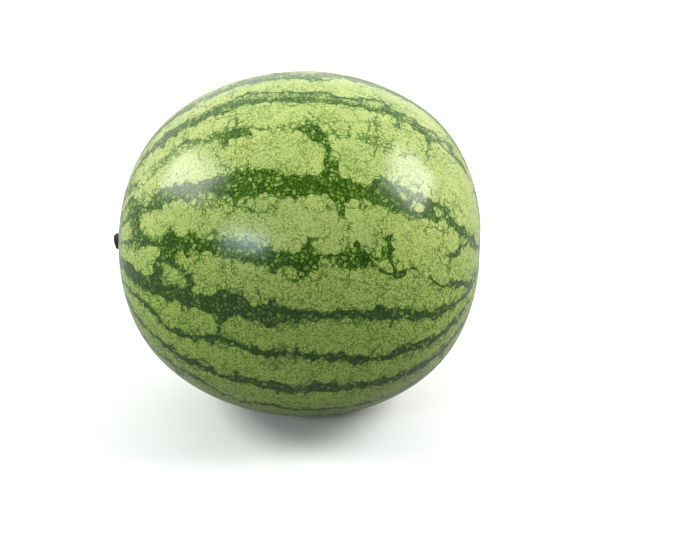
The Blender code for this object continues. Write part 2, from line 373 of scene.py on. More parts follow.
@dataclass
class StripePlan:
    """Where the rind is dark: the stripes on show, and those made up to match."""

    form: FruitForm
    draw_seed: int = 11
    waver_seed: int = 6
    wavers: tuple[tuple[float, float], ...] = ((0.016, 0.0022), (0.0065, 0.0013))
    join: float = 2.4
    thinnest: float = 0.75
    thread: float = 0.35
    hidden_start: float = 116.0
    hidden_end: float = 300.0
    pitch: float = 16.4
    first: float = 7.0
    last: float = 173.0
    wanders: tuple[tuple[float, float], ...] = ((17.0, 1.8), (7.5, 1.2))
    gap_chance: float = 0.35
    spur_chance: float = 0.4
    short_share: float = 0.75
    spurs_start: float = 25.0
    spurs_end: float = 155.0
    deepest: float = 25.0

    def made_up(self) -> list[Streak]:
        """Lay out the stripes of the side that is turned away.

        Returns:
            The stripes, their side spurs and the bridges between them.
        """
        draw = random.Random(self.draw_seed)
        kinds = (StripeKind.BROAD, StripeKind.BROKEN, StripeKind.BROAD, StripeKind.MIDDLING)
        count = round((self.hidden_end - self.hidden_start) / self.pitch)
        laid = []
        for row in range(count + 1):
            bearing = self.hidden_start + row * (self.hidden_end - self.hidden_start) / count
            laid += self.hidden_stripe(bearing, kinds[row % len(kinds)], draw)
        return laid

    def hidden_stripe(self, bearing: float, kind: StripeKind, draw: random.Random) -> list[Streak]:
        """Lay out one stripe that wanders along the melon.

        Args:
            bearing: the bearing that it keeps to.
            kind: how heavy it is.
            draw: where its chances come from.

        Returns:
            The stripe and what branches off it.
        """
        girth, swing = kind.value
        phases = [draw.uniform(0, math.tau) for _ in self.wanders]
        stops, branches = [], []
        station = self.first
        while station < self.last:
            middle = math.sin(math.radians(station))
            wander = sum(reach * math.sin(station / length + phase)
                         for (length, reach), phase in zip(self.wanders, phases))
            around = bearing + wander + draw.uniform(-0.8, 0.8)
            half_width = (girth + swing * draw.uniform(-0.6, 1.0)) * middle**0.6
            broken = kind is StripeKind.BROKEN and draw.random() < self.gap_chance
            stops.append((station, around, self.thread if broken else half_width))
            if self.spurs_start < station < self.spurs_end and draw.random() < self.spur_chance:
                side = draw.choice((-1.0, 1.0))
                short = draw.random() < self.short_share
                length = draw.uniform(3.0, 7.5) if short else self.pitch
                branches.append(self.spur(station, around, side * length, draw))
            station += draw.uniform(3.0, 6.5)
        return [Streak(tuple(stops)), *branches]

    def spur(self, station: float, bearing: float, rise: float, draw: random.Random) -> Streak:
        """Lay out a branch that leaves a stripe sideways and thins out.

        Args:
            station: where it leaves the stripe.
            bearing: the stripe's bearing there.
            rise: how far round it goes, in degrees.
            draw: where its chances come from.

        Returns:
            The branch.
        """
        slant = draw.uniform(-2.5, 2.5)
        thick = draw.uniform(1.3, 2.2)
        thin = 0.5 if abs(rise) < self.pitch else thick
        return Streak((
            (station, bearing, thick),
            (station + 0.5 * slant + draw.uniform(-1, 1), bearing + 0.5 * rise, 0.7 * thick),
            (station + slant, bearing + rise, thin),
        ))

    def union(self, streaks: tuple[Streak, ...] | list[Streak], points: np.ndarray) -> np.ndarray:
        """Join streaks, with a small fillet where two of them meet.

        Args:
            streaks: the streaks to join.
            points: points on the rind, in metres.

        Returns:
            How far inside the joined streaks each point lies, in millimetres.
        """
        inside = np.full(len(points), FAR_OUTSIDE)
        for streak in streaks:
            other = streak.depth(points, self.form)
            overlap = np.maximum(self.join - np.abs(inside - other), 0.0) / self.join
            inside = np.maximum(inside, other) + overlap**2 * self.join * 0.25
        return inside

    def wavered(self, points: np.ndarray) -> np.ndarray:
        """Push points about by a few millimetres, so that edges wander.

        Args:
            points: points on the rind, in metres.

        Returns:
            The pushed points.
        """
        noise.seed_set(self.waver_seed)
        moved = np.empty_like(points)
        for row, point in enumerate(points):
            spot, push = Vector(point), Vector()
            for size, reach in self.wavers:
                push += noise.noise_vector(spot / size) * reach
            moved[row] = spot + push
        return moved

    def fields(self, points: np.ndarray) -> dict[str, np.ndarray]:
        """Work out the rind's pattern at points on it.

        Args:
            points: points on the rind, in metres.

        Returns:
            By name, how deep in a stripe and in a thin thread of dark each
            point is, in millimetres, and how much netting it has, from 0 to 1.
        """
        wavy = self.wavered(points)
        shown = [*CROWN_STRIPE, *UPPER_STRIPE, *BROKEN_STRIPE, *MAIN_STRIPE,
                 *MIDDLE_STRIPE, *LOWER_STRIPE, *BELLY_STRIPES, *self.made_up()]
        threads = [streak for streak in shown if streak.girth <= self.thinnest]
        dark = self.union([streak for streak in shown if streak.girth > self.thinnest], wavy)
        pale = self.union(ISLANDS, wavy)
        dark = np.minimum(dark, np.where(pale > -3.0, 0.3 - pale, dark))
        thread = self.union(threads, wavy)
        return {
            "stripe": np.clip(dark, -self.deepest, self.deepest),
            "thread": np.clip(thread, -self.deepest, self.deepest),
            "netting": np.clip(0.5 + self.union(NETTED, wavy) / 4.0, 0.0, 1.0),
        }


# --- Shader tools ---


def tint(code: str) -> tuple[float, float, float, float]:
    """Turn a six-digit display colour into the linear colour that nodes take."""
    parts = [int(code[start:start + 2], 16) / 255.0 for start in (0, 2, 4)]
    return (*(part / 12.92 if part <= 0.04045 else ((part + 0.055) / 1.055) ** 2.4
              for part in parts), 1.0)


class Weaver:
    """Adds the nodes of one shader tree and links them."""

    def __init__(self, tree: bpy.types.NodeTree) -> None:
        """Start on an existing tree."""
        self.tree = tree

    def feed(self, socket: Socket, value: object) -> None:
        """Give a socket another node's output, a display colour or a plain value."""
        if isinstance(value, Socket):
            self.tree.links.new(value, socket)
        else:
            socket.default_value = tint(value) if isinstance(value, str) else value

    def add(self, kind: str, sockets: dict[str | int, object] | None = None,
            **settings: object) -> bpy.types.Node:
        """Add one node, set its properties and feed its sockets.

        Args:
            kind: the node's type name, without the leading ShaderNode.
            sockets: what its inputs take, by name or by number.
            settings: properties of the node by name.

        Returns:
            The node.
        """
        made = self.tree.nodes.new("ShaderNode" + kind)
        for name, value in settings.items():
            setattr(made, name, value)
        for name, value in (sockets or {}).items():
            self.feed(made.inputs[name], value)
        return made

    def sum(self, operation: str, *values: object, clamp: bool = False) -> Socket:
        """Work out one step of arithmetic, held between 0 and 1 where clamp is set."""
        sockets = dict(enumerate(values))
        return self.add("Math", sockets, operation=operation, use_clamp=clamp).outputs[0]

    def times(self, value: object, factor: object, more: object = 0.0) -> Socket:
        """Multiply a value and add more to it."""
        return self.sum("MULTIPLY_ADD", value, factor, more)

    def vector(self, operation: str, first: object, second: object = None) -> Socket:
        """Work out one step of vector arithmetic.

        Args:
            operation: the Vector Math node's operation.
            first: its first input.
            second: its second input, or the factor of a SCALE.

        Returns:
            The vector, or the plain value of a length, distance or dot product.
        """
        made = self.add("VectorMath", {0: first}, operation=operation)
        if second is not None:
            self.feed(made.inputs["Scale" if operation == "SCALE" else 1], second)
        plain = operation in ("LENGTH", "DISTANCE", "DOT_PRODUCT")
        return made.outputs["Value" if plain else "Vector"]

    def parts(self, place: Socket) -> bpy.types.bpy_prop_collection:
        """Split a place into its three parts."""
        return self.add("SeparateXYZ", {0: place}).outputs

    def ease(self, value: Socket, low: object, high: object, start: float = 0.0,
             end: float = 1.0) -> Socket:
        """Ease from start to end as a value goes from low to high."""
        sockets = {"Value": value, "From Min": low, "From Max": high,
                   "To Min": start, "To Max": end}
        return self.add("MapRange", sockets, interpolation_type="SMOOTHSTEP").outputs["Result"]

    def blend(self, share: object, first: object, second: object) -> Socket:
        """Blend two colours, where the share is how much of the second shows."""
        sockets = {0: share, 6: first, 7: second}
        return self.add("Mix", sockets, data_type="RGBA", clamp_factor=True).outputs[2]

    def swirls(self, place: Socket, size: float, detail: float,
               roughness: float = 0.5) -> bpy.types.bpy_prop_collection:
        """Add soft noise whose features are about this many units across."""
        sockets = {"Vector": place, "Scale": 1.0 / size, "Detail": detail, "Roughness": roughness}
        return self.add("TexNoise", sockets, noise_dimensions="3D").outputs

    def clouds(self, place: Socket, size: float, detail: float = 2.0,
               roughness: float = 0.5) -> Socket:
        """Give soft noise from 0 to 1."""
        return self.swirls(place, size, detail, roughness)["Fac"]

    def pushed(self, place: Socket, size: float, reach: float, base: object = None) -> Socket:
        """Push a place, or another base, by soft noise of a size and a reach."""
        swirl = self.vector("SUBTRACT", self.swirls(place, size, 1.0)["Color"], (0.5, 0.5, 0.5))
        return self.vector("ADD", place if base is None else base,
                           self.vector("SCALE", swirl, reach))

    def cells(self, place: Socket, size: float,
              feature: str = "F1") -> bpy.types.bpy_prop_collection:
        """Add cells about this many units across."""
        sockets = {"Vector": place, "Scale": 1.0 / size}
        return self.add("TexVoronoi", sockets, voronoi_dimensions="3D", feature=feature).outputs

    def seams(self, place: Socket, size: float) -> Socket:
        """Give the distance to the cells' seams, in cells."""
        return self.cells(place, size, "DISTANCE_TO_EDGE")["Distance"]


@cache
def grain_group() -> bpy.types.NodeTree:
    """Make the fine grain that the rind, the stub and the floor share.

    Returns:
        A group that takes a place in millimetres and a grain size, and gives
        a soft mottle and a fine grain, both from 0 to 1.
    """
    tree = bpy.data.node_groups.new("Fine grain", "ShaderNodeTree")
    for way, kind, labels in (("INPUT", "NodeSocketVector", ("Place",)),
                              ("INPUT", "NodeSocketFloat", ("Size",)),
                              ("OUTPUT", "NodeSocketFloat", ("Mottle", "Grain"))):
        for label in labels:
            socket = tree.interface.new_socket(name=label, in_out=way, socket_type=kind)
            if label == "Size":
                socket.default_value = 1.0
    weave = Weaver(tree)
    given = tree.nodes.new("NodeGroupInput").outputs
    result = tree.nodes.new("NodeGroupOutput").inputs
    scaled = weave.vector("SCALE", given["Place"], weave.sum("DIVIDE", 1.0, given["Size"]))
    weave.feed(result["Mottle"], weave.clouds(scaled, 9.0, 3.0))
    weave.feed(result["Grain"], weave.clouds(scaled, 1.0, 3.0, 0.6))
    return tree


class Skin(Weaver):
    """A new material, with a place in millimetres and the shared grain to hand."""

    def __init__(self, name: str, size: float = 1.0,
                 squeeze: tuple[float, float, float] = (1.0, 1.0, 1.0)) -> None:
        """Start with a bare Principled shader.

        Args:
            name: the material's name.
            size: how coarse the grain is, in millimetres.
            squeeze: how much closer the grain lies along each axis.
        """
        self.material = bpy.data.materials.new(name)
        self.material.use_nodes = True
        super().__init__(self.material.node_tree)
        self.shader = self.tree.nodes["Principled BSDF"]
        self.place = self.vector("SCALE", self.add("TexCoord").outputs["Object"], 1.0 / MM)
        sockets = {"Place": self.vector("MULTIPLY", self.place, squeeze), "Size": size}
        fine = self.add("Group", sockets, node_tree=grain_group()).outputs
        self.mottle, self.grain = fine["Mottle"], fine["Grain"]

    def dress(self, sockets: dict[str, object]) -> None:
        """Feed or set the shader's own sockets, by name."""
        for name, value in sockets.items():
            self.feed(self.shader.inputs[name], value)

    def dull(self, least: float, most: float) -> Socket:
        """Give a roughness that the soft mottle varies between two values."""
        return self.ease(self.mottle, 0.3, 0.7, least, most)

    def relief(self, height: Socket, strength: float, depth: float) -> Socket:
        """Give the normal of a relief of this strength and depth in metres."""
        sockets = {"Height": height, "Strength": strength, "Distance": depth}
        return self.add("Bump", sockets).outputs["Normal"]


# --- Finishes ---


@dataclass(frozen=True)
class RindFinish:
    """The waxy rind: pale lobes and dark netted stripes.

    Sizes, heights and reaches are in millimetres. A pair for a push or a
    fringe is its size and its reach.
    """

    pale: str = "B4C672"
    pale_warm: str = "BDCA74"
    pale_cool: str = "A8BE6C"
    # The pale rind's colour low down, with painted shade.
    pale_shaded: str = "9EB957"
    speck: str = "5A7224"
    vein: str = "446A1A"
    leafy: str = "8DB345"
    dark: str = "345A08"
    deepest: str = "173304"
    # The dark stripes' colour low down, with painted shade.
    shaded: str = "21440D"
    straw: str = "D9D08A"
    cork: str = "877A4A"
    cork_dark: str = "4A4025"
    stem_ring: str = "5A5A2A"
    lobe_size: float = 8.0
    scallop_size: float = 3.8
    lobe_reach: float = 4.3
    lobe_share: float = 0.64
    scallop_share: float = 0.6
    hue_size: float = 45.0
    patch_size: float = 13.0
    speck_size: float = 1.0
    pebble_size: float = 1.7
    crowd_size: float = 12.0
    path_size: float = 14.0
    mesh_size: float = 3.2
    net_size: float = 3.4
    leaf_size: float = 7.0
    shred_size: float = 1.4
    wander: tuple[tuple[float, float], ...] = ((8.0, 3.0), (2.4, 1.0))
    path_jolt: tuple[float, float] = (2.2, 1.2)
    net_bend: tuple[float, float] = (2.0, 2.2)
    fringe: tuple[float, float] = (1.9, 0.9)
    fray: tuple[float, float] = (1.1, 0.8)
    notch_width: float = 0.65
    mesh_width: float = 0.42
    # Heights in millimetres over which painted shade darkens the pale rind and the dark stripes,
    # and painted light and shade make the leafy green lighter above and darker below.
    pale_shade_heights: tuple[float, float] = (185.0, 115.0)
    dark_shade_heights: tuple[float, float] = (200.0, 130.0)
    leaves_light_shade_heights: tuple[float, float] = (168.0, 128.0)
    ends_warm: tuple[float, float] = (55.0, 118.0)
    rest_fades: tuple[float, float] = (62.0, 12.0)
    rest_shape: tuple[float, float, float] = (0.75, 1.0, 1.6)
    scar_radius: float = 3.0
    scar_rim: float = 6.0
    ring_radius: float = 9.5
    roughness: tuple[float, float] = (0.18, 0.25)
    shine: float = 0.33
    bloom: float = 0.10
    bloom_roughness: float = 0.30
    relief: float = 0.35
    relief_depth: float = 0.00012

    def make(self, form: FruitForm) -> bpy.types.Material:
        """Build the rind's material.

        Args:
            form: the melon's outline.

        Returns:
            The material, which reads the rind's "stripe", "stripe_slope",
            "thread" and "netting" values.
        """
        skin = RindSkin(self, form)
        colour, speckle = skin.coloured()
        height = skin.times(skin.grain, 0.5, skin.times(speckle, -0.6))
        skin.dress({
            "Base Color": skin.weathered(colour),
            "Roughness": skin.dull(*self.roughness),
            "Specular IOR Level": self.shine,
            "Sheen Weight": self.bloom,
            "Sheen Roughness": self.bloom_roughness,
            "Normal": skin.relief(height, self.relief, self.relief_depth),
        })
        return skin.material


class RindSkin(Skin):
    """The rind's material, drawn from the pattern stored on the rind."""

    def __init__(self, finish: RindFinish, form: FruitForm) -> None:
        """Find the place and its depth in the dark.

        Args:
            finish: the rind's colours and sizes.
            form: the melon's outline.
        """
        super().__init__("Watermelon rind")
        self.finish, self.form = finish, form
        parts = self.parts(self.place)
        self.along, self.side, self.height = parts["X"], parts["Y"], parts["Z"]
        self.wavy = self.place
        for size, reach in finish.wander:
            self.wavy = self.pushed(self.place, size, reach, self.wavy)
        self.edge = self.fringed(self.sum("MAXIMUM", self.grown(), self.stored("thread")))

    def stored(self, name: str, output: str = "Fac") -> Socket:
        """Read a value stored on the rind."""
        return self.add("Attribute", attribute_name=name).outputs[output]

    def nearest(self, lobes: list[tuple[Socket, Socket]], place: Socket) -> Socket:
        """Give the least of each lobe's level plus how far off its middle is."""
        return self.sum("MINIMUM", *(self.sum("ADD", level, self.vector("DISTANCE", place, middle))
                                     for middle, level in lobes))

    def grown(self) -> Socket:
        """Make the pale rind out of round lobes, as if each grew from its middle.

        A lobe reaches as far as its middle is deep in the pale rind, so the
        stripes keep to their plan while their edges bulge.

        Returns:
            The depth measured from the lobes' edges.
        """
        finish, depth = self.finish, self.stored("stripe")
        slope = self.stored("stripe_slope", "Vector")
        lobes, tops = [], []
        for feature in ("F1", "F2"):
            middle = self.cells(self.wavy, finish.lobe_size, feature)["Position"]
            way = self.vector("DOT_PRODUCT", self.vector("SUBTRACT", middle, self.wavy), slope)
            lobes.append((middle, self.sum("ADD", depth, way)))
        smooth = self.nearest(lobes, self.wavy)
        for feature in ("F1", "F2"):
            cell = self.cells(self.wavy, finish.scallop_size, feature)
            reach = self.nearest(lobes, cell["Position"])
            tops.append(self.times(cell["Distance"], finish.scallop_size, reach))
        edge = self.sum("SUBTRACT", self.sum("MINIMUM", *tops), smooth)
        edge = self.times(edge, finish.scallop_share, smooth)
        edge = self.sum("SUBTRACT", self.sum("SUBTRACT", edge, finish.lobe_reach), depth)
        return self.times(edge, finish.lobe_share, depth)

    def fringed(self, edge: Socket) -> Socket:
        """Fray the lobes' edges with fringes about a millimetre long.

        Args:
            edge: the depth from the lobes' edges.

        Returns:
            The depth from the frayed edges.
        """
        fringe, fringe_reach = self.finish.fringe
        fray, fray_reach = self.finish.fray
        tufts = self.cells(self.place, fringe)["Distance"]
        edge = self.times(self.sum("SUBTRACT", tufts, 0.5), fringe_reach, edge)
        rough = self.clouds(self.place, fray, 2.0, 0.6)
        return self.times(self.sum("SUBTRACT", rough, 0.5), fray_reach, edge)

    def coloured(self) -> tuple[Socket, Socket]:
        """Colour the pale and dark rind.

        Returns:
            The colour, and how strong the speckle is.
        """
        pale, speckle = self.pale()
        pale = self.blend(self.veins(), pale, self.finish.vein)
        cover = self.ease(self.edge, -0.45, 0.35)
        return self.blend(cover, pale, self.dark()), speckle

    def pale(self) -> tuple[Socket, Socket]:
        """Colour the pale rind, with its patches, its speckle and painted shade towards the
        bottom.

        Returns:
            The colour, and how strong the speckle is.
        """
        finish, place = self.finish, self.place
        hue = self.ease(self.clouds(place, finish.hue_size), 0.38, 0.62)
        colour = self.blend(hue, finish.pale_warm, finish.pale_cool)
        patch = self.ease(self.clouds(place, finish.patch_size), 0.35, 0.65)
        colour = self.blend(patch, colour, finish.pale)
        # Painted shade: towards the bottom the pale rind is blended into a darker, greener colour.
        low = self.ease(self.height, *finish.pale_shade_heights)
        colour = self.blend(low, colour, finish.pale_shaded)
        ends = self.ease(self.sum("ABSOLUTE", self.along), *finish.ends_warm, 0.0, 0.6)
        ends = self.times(ends, self.times(low, -0.8, 1.0))
        colour = self.blend(ends, colour, finish.pale_warm)
        specks = self.clouds(place, finish.speck_size, 1.0)
        pebbles = self.cells(place, finish.pebble_size)["Distance"]
        speckle = self.ease(self.times(pebbles, 0.40, specks), 0.58, 0.84)
        crowd = self.ease(self.clouds(place, finish.crowd_size, 1.0), 0.35, 0.65, 0.45, 0.75)
        speckle = self.sum("MULTIPLY", speckle, self.times(low, 0.3, crowd), clamp=True)
        return self.blend(speckle, colour, finish.speck), speckle

    def veins(self) -> Socket:
        """Draw the thin veins that run from the stripes into the pale rind.

        Returns:
            How strong the veins are.
        """
        finish, wavy = self.finish, self.wavy
        seam = self.times(self.seams(wavy, finish.lobe_size), finish.lobe_size)
        notch = self.line(seam, self.ease(self.edge, -4.5, 0.3, 0.0, 0.9), finish.notch_width)
        patchy = self.ease(self.clouds(wavy, finish.path_size, 1.0), 0.38, 0.6, 0.15, 1.0)
        path = self.seams(self.pushed(wavy, *finish.path_jolt), finish.path_size)
        path = self.times(self.ease(path, 0.11, 0.03), patchy)
        strong = self.times(self.ease(self.edge, -14.0, 0.0, 0.4, 1.0), path)
        near = self.ease(self.edge, -1.0, 0.3, 0.0, 0.35)
        strength = self.sum("MAXIMUM", self.sum("MAXIMUM", strong, near), self.stored("netting"))
        gap = self.times(self.seams(wavy, finish.mesh_size), finish.mesh_size)
        return self.sum("MAXIMUM", notch, self.line(gap, strength, finish.mesh_width))

    def line(self, gap: Socket, strength: Socket, width: float) -> Socket:
        """Draw a line where a gap closes, thinner and fainter where it is weak.

        Args:
            gap: the distance to the line's middle, in millimetres.
            strength: how strong the line is, from 0 to 1.
            width: how much wider it is at full strength.

        Returns:
            How strong the line is at each place.
        """
        broad = self.times(strength, width, 0.14)
        drawn = self.ease(gap, broad, self.times(broad, 0.35))
        return self.times(drawn, self.ease(strength, 0.0, 0.7, 0.0, 0.92))

    def dark(self) -> Socket:
        """Colour the dark rind: a net of deep green over leafier green, with painted light higher
        up and painted shade lower down.

        Returns:
            The colour.
        """
        finish, place = self.finish, self.place
        bent = self.pushed(self.wavy, *finish.net_bend)
        heart = self.ease(self.seams(bent, finish.net_size), 0.02, 0.27)
        chance = self.add("SeparateColor", {0: self.cells(bent, finish.net_size)["Color"]}).outputs
        leafy = self.ease(self.clouds(place, finish.leaf_size), 0.36, 0.62, 0.35, 1.0)
        bright = self.times(leafy, self.ease(chance[1], 0.1, 0.9, 0.3, 1.0))
        # Painted light and shade: the leafy green is lighter higher up and darker lower down.
        bright = self.times(bright, self.ease(self.height, *finish.leaves_light_shade_heights, 1.3, 0.65))
        # Painted shade: the dark stripes turn to a darker colour towards the bottom.
        base = self.blend(self.ease(self.height, *finish.dark_shade_heights), finish.dark, finish.shaded)
        colour = self.blend(self.times(heart, bright), base, finish.leafy)
        shreds = self.clouds(place, finish.shred_size, 2.0, 0.6)
        colour = self.blend(self.ease(shreds, 0.44, 0.60, 0.0, 0.8), colour, finish.deepest)
        picked = self.ease(chance[0], 0.80, 0.93, 0.0, 0.4)
        fleck = self.times(self.times(picked, heart), leafy)
        return self.blend(fleck, colour, finish.pale_cool)

    def weathered(self, colour: Socket) -> Socket:
        """Add the straw-coloured resting spot, the corky scar and the stem ring.

        Args:
            colour: the fresh rind's colour.

        Returns:
            The weathered rind's colour.
        """
        finish, place = self.finish, self.place
        away = self.vector("LENGTH", self.vector("MULTIPLY", place, finish.rest_shape))
        spread = self.times(self.clouds(place, 22.0, 3.0), -40.0, away)
        spot = self.ease(spread, *finish.rest_fades, 0.0, 0.55)
        colour = self.blend(spot, colour, finish.straw)
        lifted = self.sum("SUBTRACT", self.height, self.form.axis_height / MM)
        square = self.times(self.side, self.side, self.times(lifted, lifted))
        ragged = self.times(self.clouds(place, 2.5), -3.0, self.sum("SQRT", square))
        blossom = self.ease(self.along, 0.0, 1.0)
        rim = self.ease(ragged, finish.scar_rim, 2.6, 0.0, 0.45)
        colour = self.blend(self.times(rim, blossom), colour, finish.vein)
        flaky = self.ease(self.clouds(place, 0.9, 3.0, 0.65), 0.38, 0.62)
        corky = self.blend(flaky, finish.cork_dark, finish.cork)
        scar = self.ease(ragged, finish.scar_radius, 1.6)
        colour = self.blend(self.times(scar, blossom), colour, corky)
        ring = self.ease(ragged, finish.ring_radius, 6.5, 0.0, 0.85)
        stem_end = self.sum("SUBTRACT", 1.0, blossom)
        return self.blend(self.times(ring, stem_end), colour, finish.stem_ring)


@dataclass(frozen=True)
class StemFinish:
    """The dried, blackened stub of the stalk."""

    crust: str = "20170F"
    fibre: str = "4A3824"
    fibre_width: float = 0.6
    fibre_length: float = 4.0
    roughness: tuple[float, float] = (0.62, 0.85)
    relief: float = 0.8
    relief_depth: float = 0.0004

    def make(self) -> bpy.types.Material:
        """Build the stub's material.

        Returns:
            The material.
        """
        squeeze = (1.0 / self.fibre_length, 1.0, 1.0)
        skin = Skin("Dried stalk", self.fibre_width, squeeze)
        fibres = skin.ease(skin.grain, 0.4, 0.65)
        skin.dress({
            "Base Color": skin.blend(fibres, self.crust, self.fibre),
            "Roughness": skin.dull(*self.roughness),
            "Normal": skin.relief(skin.grain, self.relief, self.relief_depth),
        })
        return skin.material


@dataclass(frozen=True)
class FloorFinish:
    """Plain white paper, which throws only a little light back on the melon."""

    paper: str = "F7F7F6"
    bounced: str = "989896"
    haze: str = "FFFFFF"
    haze_start: float = 700.0
    haze_end: float = 3000.0
    haze_strength: float = 0.6
    roughness: tuple[float, float] = (0.9, 0.95)
    shine: float = 0.1

    def make(self) -> bpy.types.Material:
        """Build the floor's material, which glows far off so that no horizon shows.

        Returns:
            The material.
        """
        skin = Skin("White paper")
        seen = skin.add("LightPath").outputs["Is Camera Ray"]
        away = skin.vector("LENGTH", skin.place)
        haze = skin.ease(away, self.haze_start, self.haze_end, 0.0, self.haze_strength)
        skin.dress({
            "Base Color": skin.blend(seen, self.bounced, self.paper),
            "Roughness": skin.dull(*self.roughness),
            "Specular IOR Level": self.shine,
            "Emission Color": self.haze,
            "Emission Strength": skin.times(haze, seen),
        })
        return skin.material


# --- Pieces ---


def finished(bm: bmesh.types.BMesh, name: str,
             material: bpy.types.Material) -> bpy.types.Object:
    """Turn a bmesh into a smooth object at the origin.

    Args:
        bm: the shape, which is freed.
        name: the object's name.
        material: its finish.

    Returns:
        The object, linked to the scene.
    """
    mesh = bpy.data.meshes.new(name)
    bm.to_mesh(mesh)
    bm.free()
    mesh.shade_smooth()
    mesh.materials.append(material)
    made = bpy.data.objects.new(name, mesh)
    bpy.context.scene.collection.objects.link(made)
    return made


def read(items: bpy.types.bpy_prop_collection, name: str, kind: type,
         width: int = 1) -> np.ndarray:
    """Read one property of every item, with this many numbers each."""
    found = np.empty(len(items) * width, kind)
    items.foreach_get(name, found)
    return found.reshape(-1, width) if width > 1 else found


@dataclass
class Rind:
    """The melon's skin."""

    form: FruitForm
    plan: StripePlan
    finish: RindFinish
    cuts: int = 127
    gathering: float = 0.22
    swell: float = 0.00035
    swell_size: float = 0.055
    seat_radius: float = 0.0078
    seat_depth: float = 0.0008
    seat_edge: float = 0.001
    rim_radius: float = 0.0108
    rim_height: float = 0.0005
    rim_width: float = 0.0018
    patch_margin: float = 0.004

    def build(self) -> bpy.types.Object:
        """Make the skin, with its pattern stored on it.

        Returns:
            The finished skin.
        """
        bm = bmesh.new()
        bmesh.ops.create_cube(bm, size=2.0)
        bmesh.ops.subdivide_edges(bm, edges=list(bm.edges), cuts=self.cuts, use_grid_fill=True)
        skin = finished(bm, "rind", self.finish.make(self.form))
        mesh = skin.data
        block = read(mesh.vertices, "co", np.float32, 3).astype(float)
        self.lay_patches(mesh, block)
        points = self.shaped(block)
        mesh.vertices.foreach_set("co", points.astype(np.float32).ravel())
        fields = self.plan.fields(points)
        for name, values in fields.items():
            layer = mesh.attributes.new(name, "FLOAT", "POINT")
            layer.data.foreach_set("value", values.astype(np.float32))
        slope = self.slope(mesh, points, fields["stripe"])
        layer = mesh.attributes.new("stripe_slope", "FLOAT_VECTOR", "POINT")
        layer.data.foreach_set("vector", slope.astype(np.float32).ravel())
        mesh.update()
        return skin

    def slope(self, mesh: bpy.types.Mesh, points: np.ndarray, depth: np.ndarray) -> np.ndarray:
        """Find which way the dark deepens at each vertex, and how fast.

        Args:
            mesh: the skin.
            points: its vertices, in metres.
            depth: how deep in the dark each one is, in millimetres.

        Returns:
            One vector a vertex, in millimetres a millimetre.
        """
        ends = read(mesh.edges, "vertices", np.int32, 2)
        step = (points[ends[:, 1]] - points[ends[:, 0]]) / MM
        rise = depth[ends[:, 1]] - depth[ends[:, 0]]
        facing = points - np.array(self.form.centre)
        facing /= np.linalg.norm(facing, axis=1)[:, None]
        spread = facing[:, :, None] * facing[:, None, :]
        pull = np.zeros((len(points), 3))
        square = step[:, :, None] * step[:, None, :]
        for end in (0, 1):
            np.add.at(spread, ends[:, end], square)
            np.add.at(pull, ends[:, end], step * rise[:, None])
        found = np.linalg.solve(spread, pull[:, :, None])[:, :, 0]
        return found / np.maximum(np.linalg.norm(found, axis=1), 1.0)[:, None]

    def shaped(self, block: np.ndarray) -> np.ndarray:
        """Take the divided block's vertices to the melon's skin.

        Args:
            block: the vertices of a block that runs from -1 to 1.

        Returns:
            The same vertices on the rind, in metres.
        """
        aims = np.tan(block * math.pi / 4.0)
        aims /= np.linalg.norm(aims, axis=1)[:, None]
        aims = self.gathered(aims)
        points = self.form.points(aims)
        points += aims * self.undulation(points)[:, None]
        off_axis = np.hypot(points[:, 1], points[:, 2] - self.form.axis_height)
        stem_end = points[:, 0] < 0.0
        seat = (self.seat_radius + self.seat_edge - off_axis) / self.seat_edge
        seat = np.clip(seat, 0.0, 1.0)
        rim = np.exp(-(((off_axis - self.rim_radius) / self.rim_width) ** 2))
        points[:, 0] += np.where(stem_end, self.seat_depth * seat**2 * (3.0 - 2.0 * seat), 0.0)
        points[:, 0] -= np.where(stem_end, self.rim_height * rim, 0.0)
        points[:, 2] = np.maximum(points[:, 2], 0.0)
        return points

    def gathered(self, aims: np.ndarray) -> np.ndarray:
        """Draw vertices in towards the two ends, where the detail is finest.

        Args:
            aims: unit directions, one a row.

        Returns:
            The directions turned towards the nearer end.
        """
        side = np.sign(aims[:, 0])
        girth = np.maximum(np.hypot(aims[:, 1], aims[:, 2]), TINY)
        angle = np.arctan2(girth, np.abs(aims[:, 0]))
        angle = angle * (1.0 - 0.5 * np.exp(-((angle / self.gathering) ** 2)))
        across = aims[:, 1:] / girth[:, None] * np.sin(angle)[:, None]
        return np.concatenate([(side * np.cos(angle))[:, None], across], axis=1)

    def undulation(self, points: np.ndarray) -> np.ndarray:
        """Give the faint unevenness of a grown rind, in metres."""
        rises = [noise.noise(Vector(point) / self.swell_size) for point in points]
        return np.array(rises) * self.swell

    def lay_patches(self, mesh: bpy.types.Mesh, block: np.ndarray) -> None:
        """Lay the block's six sides flat, three across and two up.

        Args:
            mesh: the divided block's mesh.
            block: its vertices, from -1 to 1.
        """
        corner = read(mesh.loops, "vertex_index", np.int32)
        start = read(mesh.polygons, "loop_start", np.int32)
        owner = np.searchsorted(start, np.arange(len(corner)), side="right") - 1
        middle = block[corner].reshape(-1, 4, 3).mean(1)
        axis = np.abs(middle).argmax(1)
        side = (np.take_along_axis(middle, axis[:, None], 1)[:, 0] > 0).astype(int)
        flat = np.empty((len(corner), 2))
        for way in range(3):
            mine = axis[owner] == way
            across_up = [other for other in range(3) if other != way]
            flat[mine] = block[corner[mine]][:, across_up]
        flat = 0.5 + flat * (0.5 - self.patch_margin)
        flat[:, 0] = (flat[:, 0] + axis[owner]) / 3.0
        flat[:, 1] = (flat[:, 1] + side[owner]) / 2.0
        layer = mesh.uv_layers.new(name="OFBake")
        layer.data.foreach_set("uv", flat.astype(np.float32).ravel())


